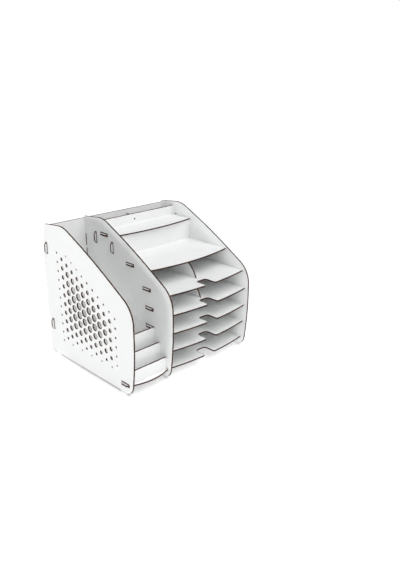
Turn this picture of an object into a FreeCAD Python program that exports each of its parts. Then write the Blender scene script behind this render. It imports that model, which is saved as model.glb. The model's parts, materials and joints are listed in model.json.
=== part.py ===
"""Desk organiser cut from thin white-faced board and held together by tabs in slots.

Three side panels share one outline. Between the first two is a file section with three stepped card
boards at its front. Between the last two are five paper trays, the upper two split in the middle, then a
step shelf, and a pen well behind a ledge. Every other board is carried by its tabs, and the tabs stand
out of the outer faces with rounded corners.

Millimetres, +X to the right, +Y to the back, +Z up. The origin is the middle of the footprint at table
height.
"""
import FreeCAD, Part
import math
import os

from FreeCAD import Vector

# ---- Board and joints -------------------------------------------------------------------------------
SHEET = 3.0                  # thickness of every board
SLOT_CLEARANCE = 0.25        # air between a tab and each side of its slot
TAB_LENGTH = 22.5            # length of a tab along the edge that it leaves
TAB_REACH = 5.0              # how far a tab stands out of the board that it passes through
TAB_ROUND = 4.0              # radius of the corners at a tab's end
FLUSH = 0.0                  # reach of a tab that ends level with the board it passes through
SHORTEST_EDGE = 0.01         # a straight run shorter than this is left out of an outline

# ---- Overall sizes ----------------------------------------------------------------------------------
FILE_WIDTH = 105.0           # clear width of the file section
TRAY_WIDTH = 243.5           # clear width of the tray section
DEPTH = 326.0                # side panels, front to back
CREST_RISE = 37.3            # ledge to the crest of the side panels

# ---- Outline of the side panels ---------------------------------------------------------------------
SLOPE_LOWER_ANGLE = 31.2     # slope of the long upper front edge up to its bend, degrees
SLOPE_UPPER_ANGLE = 25.7     # and from there on
SLOPE_BEND_Y = 130.0         # front line to that gentle bend
SLOPE_BEND_DROP = 50.4       # crest to the bend
SLOPE_BEND_RADIUS = 1450.0   # radius of the bend
SHOULDER_RADIUS = 61.5       # bend from the front edge into the slope
CREST_RADIUS = 73.0          # bend from the slope into the top edge
TOP_FALL_ANGLE = 6.1         # fall of the top edge towards the back, degrees
LEAN_ANGLE = 7.5             # lean of the lower front edge, degrees
LEAN_HEIGHT = 93.0           # height where that lean starts
LEAN_RADIUS = 860.0          # bend at the start of the lean
TOE_RADIUS = 30.0            # lower front corner
HEEL_RADIUS = 22.0           # lower back corner
BACK_LEAN_ANGLE = 14.0       # lean of the upper back edge, degrees
BACK_LEAN_DROP = 58.3        # crest to the point where that lean starts
BACK_RADIUS = 300.0          # bend at the start of that lean
TOP_CORNER_RADIUS = 4.5      # upper back corner
FOOT_RECESS = 2.5            # height of the relief between the front and back foot
FRONT_FOOT_END = 52.0        # front line to the relief
BACK_FOOT_LENGTH = 34.0      # relief to the back line
FOOT_STEP_ROUND = 2.0        # radius at the ends of the relief

# ---- Perforation of the left side panel -------------------------------------------------------------
HOLE_PITCH = 21.9            # centre to centre, staggered rows
HOLE_FIRST_COLUMN = 61.5     # front line to the first column of holes
HOLE_FIRST_ROW = 48.4        # table to the lowest row of holes
HOLE_LARGEST = 17.1          # diameter in the middle of the pattern
HOLE_SMALLEST = 1.7          # nothing smaller is cut
MARGIN_FRONT = 48.0          # plain margin along the front edge
MARGIN_SLOPE = 51.0          # plain margin along the slope
MARGIN_TOP = 47.3            # plain margin below the crest
MARGIN_BACK = 43.0           # plain margin along the back edge
MARGIN_BOTTOM = 36.5         # plain margin above the table
FADE_LENGTH_UPPER = 90.0     # distance over which the holes grow from the upper margins
FADE_LENGTH_LOWER = 110.0    # distance over which they grow from the lower margin

# ---- Levels -----------------------------------------------------------------------------------------
FLOOR_LEVEL = 24.0           # middle of the lowest tray shelf and of the file floor
TRAY_PITCH = 44.0            # shelf to shelf
TRAY_COUNT = 5
LEDGE_RISE = 52.0            # step shelf to ledge

# ---- Tray shelves, step shelf and ledge -------------------------------------------------------------
SHELF_SETBACK = 11.5         # front corners of a shelf behind the side panels' edge
SHELF_BOW = 11.5             # how far the middle of a shelf stands in front of its corners
SHELF_TAB_SETBACK = 54.0     # front corner of a shelf to its side tab
CARD_TAB_GAP = 0.3           # air between the last card board and those tabs
NOTCH_WIDTH = 30.0           # finger notch in the front of a tray shelf
NOTCH_DEPTH = 33.0           # notch depth from the middle of the bow
NOTCH_ROUND = 8.0            # inner corners of the notch
NOTCH_LIP_ROUND = 5.0        # outer corners of the notch
STEP_SETBACK = 10.0          # front corners of the step shelf behind the side panels' edge
STEP_BOW = 14.0              # bow of the step shelf
STEP_TAB_SETBACK = 54.0      # front corner of the step shelf to its side tab
LEDGE_DEPTH = 63.7           # front corners of the ledge to the pen board
LEDGE_BOW = 11.5             # bow of the ledge
LEDGE_TAB_SETBACK = 20.0     # front corner of the ledge to its side tab
RISER_SETBACK = 0.5          # front corners of the ledge to the riser's face
FLOOR_BOW = 11.5             # bow of the file floor
FLOOR_TAB_SETBACK = 3.0      # front corner of the file floor to its side tab

# ---- Back panels ------------------------------------------------------------------------------------
BACK_INSET = 12.5            # rear face of the back panels to the back line
FLOOR_OVERHANG = 6.0         # how far the lowest boards pass behind the back panels
BACK_TOP_DROP = 10.3         # crest to the top of the back panels
BACK_TAB_INSET = 42.0        # end of a back panel to its side tab
BACK_TAB_STAGGER = 36.0      # extra inset in the divider, where both back panels meet
REAR_TAB_INSET = 46.0        # side of a board to its rear tab

# ---- Card boards ------------------------------------------------------------------------------------
CARD_FRONT = 23.0            # front line to the first card board
CARD_PITCH = 20.0            # board to board
CARD_RISE = 30.0             # height that each board adds
CARD_COUNT = 3
CARD_ROUND = 6.0             # upper corners
CARD_TAB_INSET = 16.0        # side of a card board to its bottom tab

# ---- Dividers of the two upper rows -----------------------------------------------------------------
UPPER_DIVIDER_SETBACK = 36.0  # front corner of the shelf below to the foot of the upper row's divider
LOWER_DIVIDER_SETBACK = 29.0  # the same in the lower row
DIVIDER_BELLY = 9.5          # how far the front edge has moved back at the belly height
DIVIDER_BELLY_HEIGHT = 18.0
DIVIDER_CUTBACK = 40.0       # how far the front edge has moved back at the top
DIVIDER_FOOT_TABS = 212.0    # back panel to the front of the first bottom tab
DIVIDER_FOOT_PITCH = 60.0    # first to second bottom tab
DIVIDER_HEAD_TABS = 99.0     # back panel to the front of the first top tab
DIVIDER_HEAD_PITCH = 31.5    # first to second top tab

# ---- Pen well ---------------------------------------------------------------------------------------
PEN_WELL_DEPTH = 40.8        # pen board to the back panel
PEN_BOARD_DROP = 12.3        # crest to the top of the pen board
PARTITION_DROP = 8.0         # top of the pen board to the top of the partition
BOARD_HOLE_DIAMETER = 2.7    # small round hole in the pen board
BOARD_HOLE_OFFSET = 114.5    # divider panel to that hole
BOARD_HOLE_DROP = 13.9       # top of the pen board to that hole
PANEL_HOLE_DIAMETER = 3.6    # small round hole in the right side panel
PANEL_HOLE_FORWARD = 11.0    # pen board to the hole in the right side panel
PANEL_HOLE_RISE = 2.3        # ledge to that hole

# ---- Places worked out from the sizes ---------------------------------------------------------------
TOTAL_WIDTH = FILE_WIDTH + TRAY_WIDTH + 3 * SHEET
LEFT_X = -TOTAL_WIDTH / 2
FILE_X0 = LEFT_X + SHEET
FILE_X1 = FILE_X0 + FILE_WIDTH
TRAY_X0 = FILE_X1 + SHEET
TRAY_X1 = TRAY_X0 + TRAY_WIDTH
MIDDLE_X = (TRAY_X0 + TRAY_X1 - SHEET) / 2    # left face of the boards that halve the tray section
FRONT_Y = -DEPTH / 2
BACK_Y = DEPTH / 2
BACK_PANEL_Y = BACK_Y - BACK_INSET - SHEET
FLOOR_BACK_Y = BACK_PANEL_Y + SHEET + FLOOR_OVERHANG
FLOOR_Z = FLOOR_LEVEL - SHEET / 2
FLOOR_TOP = FLOOR_Z + SHEET
STEP_Z = FLOOR_Z + TRAY_COUNT * TRAY_PITCH
STEP_TOP = STEP_Z + SHEET
LEDGE_Z = STEP_Z + LEDGE_RISE
HEIGHT = FLOOR_LEVEL + TRAY_COUNT * TRAY_PITCH + LEDGE_RISE + CREST_RISE
SLOPE_BEND_HEIGHT = HEIGHT - SLOPE_BEND_DROP
BACK_PANEL_TOP = HEIGHT - BACK_TOP_DROP
CARD_BACK_Y = FRONT_Y + CARD_FRONT + (CARD_COUNT - 1) * CARD_PITCH + SHEET
PEN_BOARD_Y = BACK_PANEL_Y - PEN_WELL_DEPTH - SHEET
LEDGE_FRONT_Y = PEN_BOARD_Y - LEDGE_DEPTH
PEN_BOARD_TOP = HEIGHT - PEN_BOARD_DROP

# Place of each plane's two in-plane axes and of its normal in (x, y, z).
PLANES = {"XY": (0, 1, 2), "XZ": (0, 2, 1), "YZ": (1, 2, 0)}
LEFT, RIGHT, BACK, DOWN, UP = "left", "right", "back", "down", "up"
TAB_SIDES = {LEFT: (0, -1), RIGHT: (0, 1), BACK: (1, 1), DOWN: (2, -1), UP: (2, 1)}


def place(plane, u, v, n):
    """The point at (u, v) in a plane and n along its normal."""
    point = Vector()
    for axis, value in zip(PLANES[plane], (u, v, n)):
        point[axis] = value
    return point


def plate(plane, at, edges):
    """A board: closed edges drawn at n = at, given the sheet's thickness along the normal."""
    face = Part.Face(Part.Wire(Part.__sortEdges__(edges)))
    return face.extrude(place(plane, 0, 0, SHEET))


def fillet_runs(points, radii):
    """How far each corner's arc runs along its two sides, held to what the sides have room for."""
    runs = []
    for index, radius in enumerate(radii):
        here, last = points[index], points[index - 1]
        following = points[(index + 1) % len(points)]
        runs.append(radius / math.tan((last - here).getAngle(following - here) / 2))
    room = []
    for index, run in enumerate(runs):
        after = (index + 1) % len(runs)
        both = run + runs[after]
        side = points[index].distanceToPoint(points[after])
        room.append(side / both if both > side else 1)
    return [run * min(room[index - 1], room[index]) for index, run in enumerate(runs)]


def rounded_edges(plane, at, corners):
    """Edges of a polygon of (u, v, radius) corners, each rounded by an arc of its radius."""
    points = [Vector(u, v, 0) for u, v, _ in corners]
    runs = fillet_runs(points, [radius for _, _, radius in corners])
    starts, ends, edges = [], [], []
    for index, (here, run) in enumerate(zip(points, runs)):
        to_last = (points[index - 1] - here).normalize()
        to_next = (points[(index + 1) % len(points)] - here).normalize()
        starts.append(here + to_last * run)
        ends.append(here + to_next * run)
        if run > 0:
            half = to_last.getAngle(to_next) / 2
            bisector = (to_last + to_next).normalize()
            middle = here + bisector * run * (1 - math.sin(half)) / math.cos(half)
            arc = [place(plane, p.x, p.y, at) for p in (starts[-1], middle, ends[-1])]
            edges.append(Part.Arc(*arc).toShape())
    for index, end in enumerate(ends):
        start = starts[(index + 1) % len(points)]
        if end.distanceToPoint(start) > SHORTEST_EDGE:
            ends_in_space = [place(plane, p.x, p.y, at) for p in (end, start)]
            edges.append(Part.makeLine(*ends_in_space))
    return edges


def rounded_plate(plane, at, corners):
    return plate(plane, at, rounded_edges(plane, at, corners))


def block(low, high):
    """A box between two opposite corners."""
    size = high - low
    return Part.makeBox(size.x, size.y, size.z, low)


class Board:
    """One board of the organiser: its solid, and the slots that its neighbours' tabs need."""

    def __init__(self, plane, at, solid):
        self.plane = plane
        self.at = at
        self.solid = solid
        self.tabs = []
        self.slots = []

    def add_tab(self, side, carrier, start, reach=TAB_REACH):
        """Join a tab to one side of this board and give the carrier its slot.

        The tab leaves from the near face of the carrier, starts at `start` along the edge and stands
        out of the carrier's far face by `reach`.
        """
        axis, sign = TAB_SIDES[side]
        along, across, _ = PLANES[self.plane]
        near = carrier.at if sign > 0 else carrier.at + SHEET
        far = near + sign * (SHEET + reach)
        radius = TAB_ROUND if reach else 0.0
        end = start + TAB_LENGTH
        if axis == along:
            corners = [(near, start, 0), (near, end, 0)]
            corners += [(far, end, radius), (far, start, radius)]
            edge_axis = across
        else:
            corners = [(start, near, 0), (end, near, 0)]
            corners += [(end, far, radius), (start, far, radius)]
            edge_axis = along
        self.tabs.append(rounded_plate(self.plane, self.at, corners))

        low, high = Vector(), Vector()
        low[axis], high[axis] = carrier.at - SHEET, carrier.at + 2 * SHEET
        low[edge_axis], high[edge_axis] = start - SLOT_CLEARANCE, end + SLOT_CLEARANCE
        normal = PLANES[self.plane][2]
        low[normal], high[normal] = self.at - SLOT_CLEARANCE, self.at + SHEET + SLOT_CLEARANCE
        carrier.slots.append(block(low, high))

    def finished(self):
        """The whole board as one solid."""
        solid = self.solid.cut(self.slots) if self.slots else self.solid
        if self.tabs:
            solid = solid.fuse(self.tabs).removeSplitter()
        return solid.Solids[0] if len(solid.Solids) == 1 else solid


# ---- Side panels ------------------------------------------------------------------------------------
def slope_angle(y):
    """Slope of the long upper front edge in radians, y from the front line. Its bend is left sharp."""
    return math.radians(SLOPE_LOWER_ANGLE if y < SLOPE_BEND_Y else SLOPE_UPPER_ANGLE)


def slope_height(y):
    """Height of that edge."""
    return SLOPE_BEND_HEIGHT + (y - SLOPE_BEND_Y) * math.tan(slope_angle(y))


def lean_setback(height):
    """How far the leaning lower front edge lies behind the front line."""
    return max(0.0, LEAN_HEIGHT - height) * math.tan(math.radians(LEAN_ANGLE))


def side_corners():
    """Corners of the side panels' outline as (y, z, radius), from the toe round by the back."""
    slope = math.radians(SLOPE_UPPER_ANGLE)
    fall = math.radians(TOP_FALL_ANGLE)
    lean = math.radians(BACK_LEAN_ANGLE)
    # The crest's arc touches the slope in front, and the falling top edge behind, and tops out at HEIGHT.
    crest_above_bend = SLOPE_BEND_DROP - CREST_RADIUS + CREST_RADIUS / math.cos(slope)
    crest_y = SLOPE_BEND_Y + crest_above_bend / math.tan(slope)
    top_at_front = HEIGHT - CREST_RADIUS + CREST_RADIUS / math.cos(fall) + crest_y * math.tan(fall)
    slope_at_front = SLOPE_BEND_HEIGHT - SLOPE_BEND_Y * math.tan(slope)
    meet_y = (top_at_front - slope_at_front) / (math.tan(slope) + math.tan(fall))
    # The back edge leans forward from its own height up to the top edge.
    lean_height = HEIGHT - BACK_LEAN_DROP
    lean_at_table = DEPTH - (top_at_front - lean_height) * math.tan(lean)
    corner_y = lean_at_table / (1 - math.tan(fall) * math.tan(lean))
    back_foot = DEPTH - BACK_FOOT_LENGTH
    corners = [
        (lean_setback(0), 0, TOE_RADIUS),
        (FRONT_FOOT_END, 0, FOOT_STEP_ROUND / 2),
        (FRONT_FOOT_END + FOOT_RECESS, FOOT_RECESS, FOOT_STEP_ROUND),
        (back_foot - FOOT_RECESS, FOOT_RECESS, FOOT_STEP_ROUND),
        (back_foot, 0, FOOT_STEP_ROUND / 2),
        (DEPTH, 0, HEEL_RADIUS),
        (DEPTH, lean_height, BACK_RADIUS),
        (corner_y, top_at_front - corner_y * math.tan(fall), TOP_CORNER_RADIUS),
        (meet_y, slope_height(meet_y), CREST_RADIUS),
        (SLOPE_BEND_Y, SLOPE_BEND_HEIGHT, SLOPE_BEND_RADIUS),
        (0, slope_height(0), SHOULDER_RADIUS),
        (0, LEAN_HEIGHT, LEAN_RADIUS),
    ]
    return [(FRONT_Y + y, z, radius) for y, z, radius in corners]


def side_panel(x):
    return Board("YZ", x, rounded_plate("YZ", x, side_corners()))


def panel_front(height):
    """Y of the side panels' front edge at a height."""
    face = Part.Face(Part.Wire(Part.__sortEdges__(rounded_edges("YZ", LEFT_X, side_corners()))))
    level = Part.makeLine(Vector(LEFT_X, FRONT_Y - SHEET, height), Vector(LEFT_X, BACK_Y + SHEET, height))
    return level.common(face).BoundBox.YMin


def hole_diameter(y, z):
    """Diameter of the perforation at a point: it grows with the distance from the plain margins."""
    side_depth = min(
        y - lean_setback(z) - MARGIN_FRONT,
        (slope_height(y) - z) * math.cos(slope_angle(y)) - MARGIN_SLOPE,
        HEIGHT - z - MARGIN_TOP,
        DEPTH - y - MARGIN_BACK,
    )
    share = min(side_depth / FADE_LENGTH_UPPER, (z - MARGIN_BOTTOM) / FADE_LENGTH_LOWER)
    return HOLE_LARGEST * math.sin(math.pi / 2 * max(0.0, min(1.0, share)))


def perforation():
    """Round holes on a staggered grid, as cutters through the left side panel."""
    column_pitch = HOLE_PITCH * math.cos(math.radians(30))
    columns = int((DEPTH - HOLE_FIRST_COLUMN) / column_pitch) + 1
    rows = int((HEIGHT - HOLE_FIRST_ROW) / HOLE_PITCH) + 1
    cutters = []
    for column in range(columns):
        y = HOLE_FIRST_COLUMN + column * column_pitch
        rise = HOLE_FIRST_ROW + (0 if column % 2 else HOLE_PITCH / 2)
        for row in range(rows):
            z = rise + row * HOLE_PITCH
            diameter = hole_diameter(y, z)
            if diameter > HOLE_SMALLEST:
                start = Vector(LEFT_X - SHEET, FRONT_Y + y, z)
                cutters.append(Part.makeCylinder(diameter / 2, 3 * SHEET, start, Vector(1, 0, 0)))
    return cutters


# ---- Flat boards ------------------------------------------------------------------------------------
def bowed_board(x0, x1, corner_y, bow, back_y, z):
    """A flat board whose front edge is one arc that stands `bow` in front of its corners."""
    front_left, front_right = Vector(x0, corner_y, z), Vector(x1, corner_y, z)
    back_left, back_right = Vector(x0, back_y, z), Vector(x1, back_y, z)
    belly = Vector((x0 + x1) / 2, corner_y - bow, z)
    edges = [
        Part.Arc(front_left, belly, front_right).toShape(),
        Part.makeLine(front_right, back_right),
        Part.makeLine(back_right, back_left),
        Part.makeLine(back_left, front_left),
    ]
    return Board("XY", z, plate("XY", z, edges))


def cut_finger_notch(board, corner_y):
    """Cut the notch in the middle of a tray shelf's front edge and round its lips."""
    middle = (TRAY_X0 + TRAY_X1) / 2
    x0, x1 = middle - NOTCH_WIDTH / 2, middle + NOTCH_WIDTH / 2
    front = corner_y - SHELF_BOW
    corners = [
        (x0, front - SHEET, 0),
        (x1, front - SHEET, 0),
        (x1, front + NOTCH_DEPTH, NOTCH_ROUND),
        (x0, front + NOTCH_DEPTH, NOTCH_ROUND),
    ]
    notched = board.solid.cut(rounded_plate("XY", board.at, corners))
    lips = [
        edge for edge in notched.Edges
        if edge.BoundBox.ZLength > SHEET / 2
        and edge.CenterOfMass.y < corner_y
        and abs(edge.CenterOfMass.x - middle) < NOTCH_WIDTH
    ]
    board.solid = notched.makeFillet(NOTCH_LIP_ROUND, lips)


def add_rear_tabs(board, back_panel, x0, x1):
    """Two tabs through the back panel, one near each side of the board."""
    board.add_tab(BACK, back_panel, x0 + REAR_TAB_INSET)
    board.add_tab(BACK, back_panel, x1 - REAR_TAB_INSET - TAB_LENGTH)


def tray_shelf(level, side_left, side_right, back_panel):
    """One of the five notched shelves; level counts from the lowest."""
    z = FLOOR_Z + level * TRAY_PITCH
    corner_y = panel_front(z + SHEET / 2) + SHELF_SETBACK
    lowest = level == 0
    back_y = FLOOR_BACK_Y if lowest else BACK_PANEL_Y
    board = bowed_board(TRAY_X0, TRAY_X1, corner_y, SHELF_BOW, back_y, z)
    cut_finger_notch(board, corner_y)
    tab_y = max(corner_y + SHELF_TAB_SETBACK, CARD_BACK_Y + CARD_TAB_GAP)
    board.add_tab(LEFT, side_left, tab_y, reach=FLUSH if lowest else TAB_REACH)
    board.add_tab(RIGHT, side_right, tab_y)
    if not lowest:
        add_rear_tabs(board, back_panel, TRAY_X0, TRAY_X1)
    return board, corner_y


def step_shelf(side_left, side_right, back_panel):
    """The full-depth shelf above the trays: a step in front, the floor of the pen well behind."""
    corner_y = panel_front(STEP_Z + SHEET / 2) + STEP_SETBACK
    board = bowed_board(TRAY_X0, TRAY_X1, corner_y, STEP_BOW, BACK_PANEL_Y, STEP_Z)
    board.add_tab(LEFT, side_left, corner_y + STEP_TAB_SETBACK)
    board.add_tab(RIGHT, side_right, corner_y + STEP_TAB_SETBACK)
    add_rear_tabs(board, back_panel, TRAY_X0, TRAY_X1)
    return board


def ledge_shelf(side_left, side_right, pen_board):
    """The narrow shelf between the riser and the pen board."""
    board = bowed_board(TRAY_X0, TRAY_X1, LEDGE_FRONT_Y, LEDGE_BOW, PEN_BOARD_Y, LEDGE_Z)
    board.add_tab(LEFT, side_left, LEDGE_FRONT_Y + LEDGE_TAB_SETBACK)
    board.add_tab(RIGHT, side_right, LEDGE_FRONT_Y + LEDGE_TAB_SETBACK)
    board.add_tab(BACK, pen_board, TRAY_X0 + REAR_TAB_INSET, reach=FLUSH)
    board.add_tab(BACK, pen_board, TRAY_X1 - REAR_TAB_INSET - TAB_LENGTH, reach=FLUSH)
    return board


def file_floor(side_left, divider):
    """Floor of the file section. It ends level with the divider's far face, beside the lowest tray."""
    corner_y = panel_front(FLOOR_LEVEL) + SHELF_SETBACK
    board = bowed_board(FILE_X0, FILE_X1, corner_y, FLOOR_BOW, FLOOR_BACK_Y, FLOOR_Z)
    board.add_tab(LEFT, side_left, corner_y + FLOOR_TAB_SETBACK)
    board.add_tab(RIGHT, divider, corner_y + FLOOR_TAB_SETBACK, reach=FLUSH)
    return board


# ---- Upright boards across the organiser ------------------------------------------------------------
def upright_board(x0, x1, y, z0, z1, radius=0.0):
    corners = [(x0, z0, 0), (x1, z0, 0), (x1, z1, radius), (x0, z1, radius)]
    return Board("XZ", y, rounded_plate("XZ", y, corners))


def back_panel(x0, x1):
    """A back panel that stands on the lowest board of its section."""
    return upright_board(x0, x1, BACK_PANEL_Y, FLOOR_TOP, BACK_PANEL_TOP)


def add_back_panel_tabs(board, floor, outer_side, outer_panel, inner_side, divider, inner_inset, x_middle):
    """Tabs of a back panel: out through the side panel, level with the divider, down into the floor."""
    for inset, side, carrier, reach in (
        (BACK_TAB_INSET, outer_side, outer_panel, TAB_REACH),
        (inner_inset, inner_side, divider, FLUSH),
    ):
        board.add_tab(side, carrier, FLOOR_TOP + inset, reach=reach)
        board.add_tab(side, carrier, BACK_PANEL_TOP - inset - TAB_LENGTH, reach=reach)
    board.add_tab(DOWN, floor, x_middle - TAB_LENGTH / 2, reach=FLUSH)


def card_board(index, floor):
    """One of the three stepped boards at the front of the file section."""
    y = FRONT_Y + CARD_FRONT + index * CARD_PITCH
    board = upright_board(FILE_X0, FILE_X1, y, FLOOR_TOP, FLOOR_TOP + (index + 1) * CARD_RISE, CARD_ROUND)
    board.add_tab(DOWN, floor, FILE_X0 + CARD_TAB_INSET, reach=FLUSH)
    board.add_tab(DOWN, floor, FILE_X1 - CARD_TAB_INSET - TAB_LENGTH, reach=FLUSH)
    return board


def cross_board(y, z1, side_left, side_right, floor):
    """An upright board over the full tray width that stands on the step shelf."""
    board = upright_board(TRAY_X0, TRAY_X1, y, STEP_TOP, z1)
    tab_z = (STEP_TOP + z1 - TAB_LENGTH) / 2
    board.add_tab(LEFT, side_left, tab_z)
    board.add_tab(RIGHT, side_right, tab_z)
    board.add_tab(DOWN, floor, TRAY_X0 + REAR_TAB_INSET, reach=FLUSH)
    board.add_tab(DOWN, floor, TRAY_X1 - REAR_TAB_INSET - TAB_LENGTH, reach=FLUSH)
    return board


# ---- Upright boards along the organiser -------------------------------------------------------------
def row_divider(floor, roof, foot_y, back_board):
    """Divider of one row: a rounded front edge, tabs into the shelves below and above."""
    z0, z1 = floor.at + SHEET, roof.at
    foot, top = Vector(MIDDLE_X, foot_y, z0), Vector(MIDDLE_X, foot_y + DIVIDER_CUTBACK, z1)
    belly = Vector(MIDDLE_X, foot_y + DIVIDER_BELLY, z0 + DIVIDER_BELLY_HEIGHT)
    top_back, foot_back = Vector(MIDDLE_X, BACK_PANEL_Y, z1), Vector(MIDDLE_X, BACK_PANEL_Y, z0)
    edges = [
        Part.Arc(foot, belly, top).toShape(),
        Part.makeLine(top, top_back),
        Part.makeLine(top_back, foot_back),
        Part.makeLine(foot_back, foot),
    ]
    board = Board("YZ", MIDDLE_X, plate("YZ", MIDDLE_X, edges))
    for index in range(2):
        foot_tab = BACK_PANEL_Y - DIVIDER_FOOT_TABS + index * DIVIDER_FOOT_PITCH
        head_tab = BACK_PANEL_Y - DIVIDER_HEAD_TABS + index * DIVIDER_HEAD_PITCH
        board.add_tab(DOWN, floor, foot_tab, reach=FLUSH)
        board.add_tab(UP, roof, head_tab, reach=FLUSH)
    board.add_tab(BACK, back_board, (z0 + z1 - TAB_LENGTH) / 2)
    return board


def pen_partition(step, back_board):
    """Short partition in the middle of the pen well."""
    y0, y1 = PEN_BOARD_Y + SHEET, BACK_PANEL_Y
    z1 = PEN_BOARD_TOP - PARTITION_DROP
    corners = [(y0, STEP_TOP, 0), (y1, STEP_TOP, 0), (y1, z1, 0), (y0, z1, 0)]
    board = Board("YZ", MIDDLE_X, rounded_plate("YZ", MIDDLE_X, corners))
    board.add_tab(DOWN, step, (y0 + y1 - TAB_LENGTH) / 2, reach=FLUSH)
    board.add_tab(BACK, back_board, (STEP_TOP + z1 - TAB_LENGTH) / 2)
    return board


def small_hole(diameter, start, direction):
    """Cutter of a small round hole that starts a sheet's thickness before the board."""
    return Part.makeCylinder(diameter / 2, 3 * SHEET, start, direction)


def build():
    """Every board by its name."""
    left, divider, right = side_panel(LEFT_X), side_panel(FILE_X1), side_panel(TRAY_X1)
    boards = {"left_side_panel": left, "divider_panel": divider, "right_side_panel": right}
    left.slots += perforation()
    panel_hole_z = LEDGE_Z + SHEET + PANEL_HOLE_RISE
    panel_hole = Vector(TRAY_X1 - SHEET, PEN_BOARD_Y - PANEL_HOLE_FORWARD, panel_hole_z)
    right.slots.append(small_hole(PANEL_HOLE_DIAMETER, panel_hole, Vector(1, 0, 0)))

    tray_back = boards["tray_back_panel"] = back_panel(TRAY_X0, TRAY_X1)
    file_back = boards["file_back_panel"] = back_panel(FILE_X0, FILE_X1)

    shelves, corners = [], []
    for level in range(TRAY_COUNT):
        shelf, corner_y = tray_shelf(level, divider, right, tray_back)
        shelves.append(shelf)
        corners.append(corner_y)
        boards["tray_shelf_%d" % (level + 1)] = shelf
    step = boards["step_shelf"] = step_shelf(divider, right, tray_back)
    floor = boards["file_floor"] = file_floor(left, divider)

    inner_inset = BACK_TAB_INSET + BACK_TAB_STAGGER
    add_back_panel_tabs(
        tray_back, shelves[0], RIGHT, right, LEFT, divider, BACK_TAB_INSET, (TRAY_X0 + TRAY_X1) / 2)
    add_back_panel_tabs(
        file_back, floor, LEFT, left, RIGHT, divider, inner_inset, (FILE_X0 + FILE_X1) / 2)

    for index in range(CARD_COUNT):
        boards["card_board_%d" % (index + 1)] = card_board(index, floor)

    pen_board = boards["pen_board"] = cross_board(PEN_BOARD_Y, PEN_BOARD_TOP, divider, right, step)
    board_hole = Vector(TRAY_X0 + BOARD_HOLE_OFFSET, PEN_BOARD_Y - SHEET, PEN_BOARD_TOP - BOARD_HOLE_DROP)
    pen_board.slots.append(small_hole(BOARD_HOLE_DIAMETER, board_hole, Vector(0, 1, 0)))
    boards["ledge_shelf"] = ledge_shelf(divider, right, pen_board)
    riser_y = LEDGE_FRONT_Y + RISER_SETBACK
    boards["riser_board"] = cross_board(riser_y, LEDGE_Z, divider, right, step)
    boards["pen_partition"] = pen_partition(step, tray_back)

    top, second = shelves[-1], shelves[-2]
    boards["upper_row_divider"] = row_divider(top, step, corners[-1] + UPPER_DIVIDER_SETBACK, tray_back)
    boards["lower_row_divider"] = row_divider(second, top, corners[-2] + LOWER_DIVIDER_SETBACK, tray_back)
    return boards


def main():
    os.makedirs("parts", exist_ok=True)
    for name, board in build().items():
        solid = board.finished()
        if not solid.isValid() or len(solid.Solids) != 1:
            raise ValueError("%s is not one valid solid" % name)
        solid.exportStep("parts/%s.step" % name)
        box = solid.BoundBox
        print("%-20s %8.1f mm3  X %7.1f %7.1f  Y %7.1f %7.1f  Z %6.1f %6.1f" % (
            name, solid.Volume, box.XMin, box.XMax, box.YMin, box.YMax, box.ZMin, box.ZMax))


main()
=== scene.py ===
"""Desk organizer in thin white-faced board: materials, studio floor, light and camera.

Metres, +X to the right, +Y to the back, +Z up, the origin in the middle of the footprint on the table.
"""

import json
import math

import bpy
from mathutils import Matrix, Vector


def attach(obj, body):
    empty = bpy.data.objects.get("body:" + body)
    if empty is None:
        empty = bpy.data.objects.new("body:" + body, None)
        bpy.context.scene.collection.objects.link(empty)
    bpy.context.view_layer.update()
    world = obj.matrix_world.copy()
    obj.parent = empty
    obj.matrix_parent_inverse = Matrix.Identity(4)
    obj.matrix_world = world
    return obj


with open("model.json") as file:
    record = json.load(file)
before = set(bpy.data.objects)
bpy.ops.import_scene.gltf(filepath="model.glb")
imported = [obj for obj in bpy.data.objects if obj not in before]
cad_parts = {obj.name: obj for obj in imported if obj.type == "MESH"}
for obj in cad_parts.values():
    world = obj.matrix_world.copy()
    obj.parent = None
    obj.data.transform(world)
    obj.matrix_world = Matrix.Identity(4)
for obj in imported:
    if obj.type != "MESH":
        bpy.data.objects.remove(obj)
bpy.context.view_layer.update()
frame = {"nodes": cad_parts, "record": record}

MM = 0.001

# ---- Camera: the photograph's viewing angle, in its 400 x 570 frame ---------------------------------
FRAME_WIDTH, FRAME_HEIGHT = 400, 570
SENSOR_HEIGHT = 36.0                         # millimetres, of the longer side
FOCAL_PIXELS = 585.99
CENTRE_X, CENTRE_Y = 198.77, 290.98          # pixel that the lens axis meets
CAMERA_PLACE = Vector((-0.84155, -1.02250, 0.66658))
CAMERA_TURN = math.radians(-44.656)          # about Z, 0 looks along +Y
CAMERA_TILT = math.radians(21.185)           # downwards
CAMERA_ROLL = math.radians(0.032)
CLIP_START, CLIP_END = 0.01, 100.0


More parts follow.
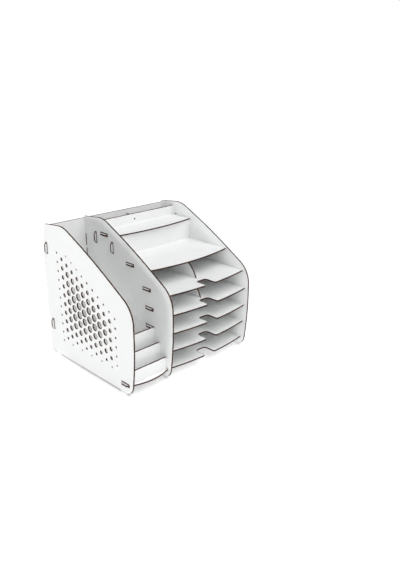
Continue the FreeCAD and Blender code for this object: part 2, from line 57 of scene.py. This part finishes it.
def make_camera():
    back = Vector((
        math.sin(CAMERA_TURN) * math.cos(CAMERA_TILT),
        -math.cos(CAMERA_TURN) * math.cos(CAMERA_TILT),
        math.sin(CAMERA_TILT)))
    right = Vector((0, 0, 1)).cross(back).normalized()
    up = back.cross(right)
    level = Matrix((right, up, back)).transposed()
    data = bpy.data.cameras.new("camera")
    data.sensor_width = SENSOR_HEIGHT
    data.lens = FOCAL_PIXELS / FRAME_HEIGHT * SENSOR_HEIGHT
    data.shift_x = (FRAME_WIDTH / 2 - CENTRE_X) / FRAME_HEIGHT
    data.shift_y = (CENTRE_Y - FRAME_HEIGHT / 2) / FRAME_HEIGHT
    data.clip_start, data.clip_end = CLIP_START, CLIP_END
    camera = bpy.data.objects.new("camera", data)
    turn = level @ Matrix.Rotation(CAMERA_ROLL, 3, "Z")
    camera.matrix_world = Matrix.Translation(CAMERA_PLACE) @ turn.to_4x4()
    bpy.context.scene.collection.objects.link(camera)
    bpy.context.scene.camera = camera


# ---- Materials --------------------------------------------------------------------------------------
class Tree:
    """Short calls for building a material's node tree."""

    def __init__(self, name):
        self.material = bpy.data.materials.new(name)
        self.material.use_nodes = True
        self.nodes = self.material.node_tree.nodes
        self.links = self.material.node_tree.links
        self.nodes.clear()

    def add(self, kind, **values):
        node = self.nodes.new(kind)
        for key, value in values.items():
            setattr(node, key, value)
        return node

    def feed(self, source, target):
        self.links.new(source, target)

    def put(self, socket, value):
        """Set a socket from a link or a plain value."""
        if isinstance(value, bpy.types.NodeSocket):
            self.feed(value, socket)
        else:
            socket.default_value = value

    def math(self, operation, a, b):
        node = self.add("ShaderNodeMath", operation=operation)
        self.put(node.inputs[0], a)
        self.put(node.inputs[1], b)
        return node.outputs[0]

    def blend(self, a, share_a, b, share_b):
        """The weighted sum of two values."""
        return self.math("ADD", self.math("MULTIPLY", a, share_a), self.math("MULTIPLY", b, share_b))

    def vector(self, operation, a, b):
        node = self.add("ShaderNodeVectorMath", operation=operation)
        self.put(node.inputs[0], a)
        self.put(node.inputs[1], b)
        return node.outputs["Value"] if operation == "DOT_PRODUCT" else node.outputs["Vector"]

    def noise(self, coordinates, scale, detail=2.0, roughness=0.5, distortion=0.0):
        node = self.add("ShaderNodeTexNoise")
        self.put(node.inputs["Vector"], coordinates)
        self.put(node.inputs["Scale"], scale)
        self.put(node.inputs["Detail"], detail)
        self.put(node.inputs["Roughness"], roughness)
        self.put(node.inputs["Distortion"], distortion)
        return node.outputs["Fac"]

    def span(self, value, low, high, to_low=0.0, to_high=1.0):
        """Map a value's span onto another, smoothly and clamped."""
        node = self.add("ShaderNodeMapRange", interpolation_type="SMOOTHSTEP")
        for socket, item in zip(node.inputs[:5], (value, low, high, to_low, to_high)):
            self.put(socket, item)
        return node.outputs[0]

    def ramp(self, value, stops):
        node = self.add("ShaderNodeValToRGB")
        elements = node.color_ramp.elements
        while len(elements) < len(stops):
            elements.new(1.0)
        for element, (place, colour) in zip(elements, stops):
            element.position = place
            element.color = (*colour, 1.0)
        self.feed(value, node.inputs[0])
        return node.outputs[0]

    def mix(self, factor, a, b):
        """Blend two colours, each a link or three linear values."""
        node = self.add("ShaderNodeMix", data_type="RGBA")
        sockets = [s for s in node.inputs if s.enabled]
        for socket, item in zip(sockets, (factor, a, b)):
            self.put(socket, (*item, 1.0) if isinstance(item, tuple) else item)
        return [s for s in node.outputs if s.enabled][0]


# Linear colours.
FACE_LIGHT = (0.870, 0.878, 0.875)
FACE_DARK = (0.850, 0.858, 0.856)
SCORCH = (0.34, 0.16, 0.080)
CHAR = (0.042, 0.015, 0.008)
SCORCH_SHARE = 0.80          # how much of the face a full scorch hides beside a cut
RIM_SCORCH_SHARE = 0.85      # and around an opening
EDGE_STOPS = [
    (0.00, (0.011, 0.004, 0.002)),
    (0.45, (0.030, 0.011, 0.006)),
    (0.75, (0.064, 0.024, 0.013)),
    (1.00, (0.130, 0.053, 0.028)),
]

# Noises: fineness per metre, detail, roughness and distortion.
MOTTLE = (14.0, 3.0, 0.55)
PEARL = (900.0, 2.0, 0.6)
GRAIN = (3200.0, 1.0, 0.5)
SMOKE = (160.0, 3.0)
RAGGED = (700.0, 2.0)
BURN = (70.0, 3.0, 0.6, 0.4)
CLOUDS = (3.0, 2.0)
# Noises that are stretched, with their fineness by axis.
RUBBED = (1.0, 4.0, 0.65)
RUBBED_STRETCH = (60.0, 60.0, 18.0)
STREAKS = (1.0, 2.0, 0.6)
STREAKS_ALONG, STREAKS_ACROSS = 850.0, 80.0   # along an edge, and across the sheet
NOISE_SPAN = (0.3, 0.7)                       # where nearly all of a noise's values lie

# Burns beside a cut, by how much of a point's view into the sheet meets the cut.
SCORCH_REACH = (1.0 * MM, 1.8 * MM)           # least and most reach of that view
SCORCH_SPAN = (0.0, 0.20)                     # share over which the scorch sets in
CHAR_SPAN = (0.10, 0.30)                      # and the char
REAR_Y = (0.12, 0.15)                         # depth over which the reach shrinks towards the back
REAR_SHARE = 0.4                              # share of it that is left there
BUTT_REACH = 4 * MM                           # a board this near covers a cut
CUT_SAMPLES, BUTT_SAMPLES = 16, 8             # rays that look for a cut, and for such a board
OPEN_SPAN = (0.70, 1.0)                       # share of open air over which a cut shows its burns
# Burns around an opening, by the ring's attribute, which runs from 0 to 1.
RIM_BURN = "rim_burn"
RIM_UNEVEN = (0.5, 1.5)                       # factor on it, by place
RIM_SCORCH_SPAN = (0.0, 0.14)
RIM_CHAR_SPAN = (0.05, 0.24)

# Surface.
FACE_ROUGHNESS = (0.40, 0.54)
RUBBED_SPAN = (0.35, 0.75)
PEARL_ROUGHNESS = (0.0, 0.05)                 # added to the face's own
EDGE_ROUGHNESS = (0.80, 0.95)
EDGE_SPECULAR = 0.12
PEARL_HEIGHT, GRAIN_HEIGHT = 0.012, 0.004     # millimetres of relief
STREAK_HEIGHT, BURN_HEIGHT = 0.09, 0.05
STREAK_WEIGHT, BURN_WEIGHT = 0.55, 0.45       # in an edge's colour
EDGE_SPAN = (0.34, 0.66)                      # span of their sum that the edge's colours cover
RELIEF_STRENGTH = 0.8
FACING_LIMIT = 0.7                            # less than this along the sheet's normal is a cut edge


def finish_material(tree, shader, relief):
    """Wire a relief in millimetres and the output."""
    bump = tree.add("ShaderNodeBump")
    bump.inputs["Strength"].default_value = RELIEF_STRENGTH
    bump.inputs["Distance"].default_value = 1 * MM
    tree.put(bump.inputs["Height"], relief)
    tree.feed(bump.outputs["Normal"], shader.inputs["Normal"])
    output = tree.add("ShaderNodeOutputMaterial")
    tree.feed(shader.outputs[0], output.inputs["Surface"])
    return tree.material


def face_material():
    """White facing: faint mottling, fine pearl texture, a few rubbed places, burns beside the cuts."""
    tree = Tree("white_face")
    place = tree.add("ShaderNodeTexCoord").outputs["Object"]
    mottle = tree.noise(place, *MOTTLE)
    pearl = tree.noise(place, *PEARL)
    grain = tree.noise(place, *GRAIN)
    rubbed = tree.noise(tree.vector("MULTIPLY", place, RUBBED_STRETCH), *RUBBED)
    colour = tree.mix(tree.span(mottle, *NOISE_SPAN), FACE_DARK, FACE_LIGHT)

    # Char and smoke along each cut, about a millimetre wide and uneven. Rays sent into the sheet
    # within that reach meet a cut only beside it.
    inward = tree.add("ShaderNodeAmbientOcclusion", samples=CUT_SAMPLES, inside=True, only_local=True)
    reach = tree.span(tree.noise(place, *SMOKE), *NOISE_SPAN, *SCORCH_REACH)
    # The rear edges are burnt less.
    depth = tree.add("ShaderNodeSeparateXYZ")
    tree.feed(place, depth.inputs[0])
    share = tree.span(depth.outputs["Y"], *REAR_Y, 1.0, REAR_SHARE)
    tree.put(inward.inputs["Distance"], tree.math("MULTIPLY", reach, share))
    # A cut that butts against another board has been wiped before assembly.
    outward = tree.add("ShaderNodeAmbientOcclusion", samples=BUTT_SAMPLES)
    outward.inputs["Distance"].default_value = BUTT_REACH
    open_air = tree.span(outward.outputs["AO"], *OPEN_SPAN)
    burn = tree.math("MULTIPLY", tree.math("SUBTRACT", 1.0, inward.outputs["AO"]), open_air)
    # Beside the openings the char is wider, as scorched_rims says.
    rim = tree.add("ShaderNodeAttribute", attribute_name=RIM_BURN).outputs["Fac"]
    uneven = tree.span(tree.noise(place, *RAGGED), *NOISE_SPAN, *RIM_UNEVEN)
    ragged = tree.math("MULTIPLY", rim, uneven)
    colour = tree.mix(tree.span(burn, *SCORCH_SPAN, 0.0, SCORCH_SHARE), colour, SCORCH)
    colour = tree.mix(tree.span(burn, *CHAR_SPAN), colour, CHAR)
    colour = tree.mix(tree.span(ragged, *RIM_SCORCH_SPAN, 0.0, RIM_SCORCH_SHARE), colour, SCORCH)
    colour = tree.mix(tree.span(ragged, *RIM_CHAR_SPAN), colour, CHAR)

    shader = tree.add("ShaderNodeBsdfPrincipled")
    tree.put(shader.inputs["Base Color"], colour)
    rough = tree.span(rubbed, *RUBBED_SPAN, *FACE_ROUGHNESS)
    finely_rough = tree.span(pearl, *NOISE_SPAN, *PEARL_ROUGHNESS)
    tree.put(shader.inputs["Roughness"], tree.math("ADD", rough, finely_rough))
    relief = tree.blend(pearl, PEARL_HEIGHT, grain, GRAIN_HEIGHT)
    return finish_material(tree, shader, relief)


def edge_material(name, normal):
    """Edge cut by laser: charred fibre with fine streaks across the sheet and some browner stretches.

    `normal` is the way across the sheet.
    """
    tree = Tree(name)
    place = tree.add("ShaderNodeTexCoord").outputs["Object"]
    stretch = tuple(STREAKS_ACROSS if axis else STREAKS_ALONG for axis in normal)
    streaks = tree.noise(tree.vector("MULTIPLY", place, stretch), *STREAKS)
    burn = tree.noise(place, *BURN)
    char = tree.blend(streaks, STREAK_WEIGHT, burn, BURN_WEIGHT)
    shader = tree.add("ShaderNodeBsdfPrincipled")
    tree.put(shader.inputs["Base Color"], tree.ramp(tree.span(char, *EDGE_SPAN), EDGE_STOPS))
    tree.put(shader.inputs["Roughness"], tree.span(streaks, *NOISE_SPAN, *EDGE_ROUGHNESS))
    shader.inputs["Specular IOR Level"].default_value = EDGE_SPECULAR
    relief = tree.blend(streaks, STREAK_HEIGHT, burn, BURN_HEIGHT)
    return finish_material(tree, shader, relief)


# The sheet's normal, by the slot that the record gives its board.
NORMALS = {
    "board_side": (1.0, 0.0, 0.0),
    "board_across": (0.0, 1.0, 0.0),
    "board_flat": (0.0, 0.0, 1.0),
}


def dress_boards():
    """White faces and charred edges. What doesn't face along the sheet's normal is a cut edge."""
    face = face_material()
    edges = {slot: edge_material("cut_edge_" + slot, normal) for slot, normal in NORMALS.items()}
    slots = {part["node"]: part["material_slot"] for part in frame["record"]["subparts"]}
    for node, board in frame["nodes"].items():
        slot = slots[node]
        normal = Vector(NORMALS[slot])
        board.material_slots[0].material = face
        board.data.materials.append(edges[slot])
        for polygon in board.data.polygons:
            polygon.material_index = int(abs(polygon.normal.dot(normal)) < FACING_LIMIT)


# ---- Scorch around the openings ---------------------------------------------------------------------
# The way the dressed face looks, by board: where tabs come out, and where the perforation is seen.
SHOWN_FACES = {
    "left_side_panel": (-1.0, 0.0, 0.0),
    "divider_panel": (-1.0, 0.0, 0.0),
    "right_side_panel": (1.0, 0.0, 0.0),
    "tray_back_panel": (0.0, 1.0, 0.0),
    "file_back_panel": (0.0, 1.0, 0.0),
}
SLOT_RIM = 3.1 * MM          # width of the scorch around a slot
HOLE_RIM = 0.5 * MM          # and around a round hole
RIM_LIFT = 0.05 * MM         # height of the scorch above the face
SLOT_CORNERS = 8             # an opening with fewer corners is a slot, not a round hole
FLAT_LIMIT = 0.99            # more than this along the normal belongs to the flat face


def opening_loops(mesh, normal):
    """Rims of the openings in a board's flat face, each a list of points with the board on its left."""
    def key(index):
        return tuple(round(c, 6) for c in mesh.vertices[index].co)

    following = {}
    for polygon in mesh.polygons:
        if polygon.normal.dot(normal) < FLAT_LIMIT:
            continue
        corners = [key(index) for index in polygon.vertices]
        for start, end in zip(corners, corners[1:] + corners[:1]):
            if start in following.get(end, ()):
                following[end].remove(start)
            else:
                following.setdefault(start, []).append(end)
    loops = []
    while any(following.values()):
        here = next(point for point, ends in following.items() if ends)
        loop = []
        while following.get(here):
            loop.append(Vector(here))
            here = following[here].pop()
        turned = sum((a.cross(b) for a, b in zip(loop, loop[1:] + loop[:1])), Vector())
        if turned.dot(normal) < 0:
            loops.append(loop)
    return loops


def scorched_rims():
    """Thin rings on the shown faces, charred at the opening and clean at their outer edge."""
    points, quads, burn = [], [], []
    for node, direction in SHOWN_FACES.items():
        normal = Vector(direction)
        for loop in opening_loops(frame["nodes"][node].data, normal):
            width = SLOT_RIM if len(loop) < SLOT_CORNERS else HOLE_RIM
            first = len(points)
            for index, point in enumerate(loop):
                into = normal.cross(point - loop[index - 1]).normalized()
                out_of = normal.cross(loop[(index + 1) % len(loop)] - point).normalized()
                away = (into + out_of) / (1 + into.dot(out_of))
                lifted = point + normal * RIM_LIFT
                points += [lifted, lifted + away * width]
                burn += [1.0, 0.0]
            for index in range(len(loop)):
                here, ahead = first + 2 * index, first + 2 * ((index + 1) % len(loop))
                quads.append((here, ahead, ahead + 1, here + 1))
    mesh = bpy.data.meshes.new("scorched_rims")
    mesh.from_pydata(points, [], quads)
    mesh.attributes.new(RIM_BURN, "FLOAT", "POINT").data.foreach_set("value", burn)
    mesh.materials.append(bpy.data.materials["white_face"])
    rims = bpy.data.objects.new("scorched_rims", mesh)
    bpy.context.scene.collection.objects.link(rims)
    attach(rims, "root")


# ---- Studio -----------------------------------------------------------------------------------------
WHITE = (1.0, 1.0, 1.0, 1.0)
FLOOR_COLOUR = (0.90, 0.90, 0.90, 1.0)
FLOOR_ROUGHNESS = (0.75, 0.85)
FLOOR_HALF = 30.0            # half of the floor's side
FLOOR_GLOW = 0.22
# Painted light: a patch of stronger floor glow behind the rear left corner, laid over the cast shadow
# there.
PAINTED_LIGHT_PLACE = (-0.150, 0.245, 0.0)
PAINTED_LIGHT_RADIUS = 0.22
PAINTED_LIGHT_GLOW = 0.43           # glow of the floor at that place, which fades to FLOOR_GLOW at the radius
SKY_STRENGTH = 0.51
# Way to each sun, its strength and its width in degrees.
KEY = ((0.06, -0.50, 0.86), 1.80, 56.0)
FILL = ((-0.985, -0.13, 0.03), 0.84, 10.0)


def floor_material():
    tree = Tree("studio_floor")
    place = tree.add("ShaderNodeTexCoord").outputs["Object"]
    shader = tree.add("ShaderNodeBsdfPrincipled")
    shader.inputs["Base Color"].default_value = FLOOR_COLOUR
    shader.inputs["Emission Color"].default_value = WHITE
    # Painted light: the floor glows brighter around that place, fading to FLOOR_GLOW at the radius, so
    # the cast shadow beside the rear left corner is washed out.
    away = tree.vector("SUBTRACT", place, PAINTED_LIGHT_PLACE)
    squared = tree.vector("DOT_PRODUCT", away, away)
    glow = tree.span(squared, 0.0, PAINTED_LIGHT_RADIUS ** 2, PAINTED_LIGHT_GLOW, FLOOR_GLOW)
    tree.put(shader.inputs["Emission Strength"], glow)
    clouds = tree.noise(place, *CLOUDS)
    tree.put(shader.inputs["Roughness"], tree.span(clouds, *NOISE_SPAN, *FLOOR_ROUGHNESS))
    output = tree.add("ShaderNodeOutputMaterial")
    tree.feed(shader.outputs[0], output.inputs["Surface"])
    return tree.material


def make_floor():
    mesh = bpy.data.meshes.new("studio_floor")
    corners = [(x * FLOOR_HALF, y * FLOOR_HALF, 0) for x, y in ((-1, -1), (1, -1), (1, 1), (-1, 1))]
    mesh.from_pydata(corners, [], [(0, 1, 2, 3)])
    mesh.materials.append(floor_material())
    floor = bpy.data.objects.new("studio_floor", mesh)
    bpy.context.scene.collection.objects.link(floor)


def make_sun(name, direction, strength, softness):
    """A wide soft light from one direction, given as the way from the object to the light."""
    data = bpy.data.lights.new(name, "SUN")
    data.energy = strength
    data.angle = math.radians(softness)
    light = bpy.data.objects.new(name, data)
    light.rotation_mode = "QUATERNION"
    light.rotation_quaternion = Vector(direction).to_track_quat("Z", "Y")
    bpy.context.scene.collection.objects.link(light)


def make_light():
    """Even white studio, seen as pure white, a wide key from above in front, a fill from the left."""
    world = bpy.data.worlds.new("studio")
    world.use_nodes = True
    nodes, links = world.node_tree.nodes, world.node_tree.links
    light = nodes["Background"]
    light.inputs["Color"].default_value = WHITE
    light.inputs["Strength"].default_value = SKY_STRENGTH
    backdrop = nodes.new("ShaderNodeBackground")
    backdrop.inputs["Color"].default_value = WHITE
    path = nodes.new("ShaderNodeLightPath")
    both = nodes.new("ShaderNodeMixShader")
    links.new(path.outputs["Is Camera Ray"], both.inputs[0])
    links.new(light.outputs[0], both.inputs[1])
    links.new(backdrop.outputs[0], both.inputs[2])
    links.new(both.outputs[0], nodes["World Output"].inputs["Surface"])
    bpy.context.scene.world = world
    make_sun("key", *KEY)
    make_sun("fill", *FILL)


make_camera()
dress_boards()
scorched_rims()
make_floor()
make_light()
bpy.context.scene.view_settings.view_transform = "Standard"
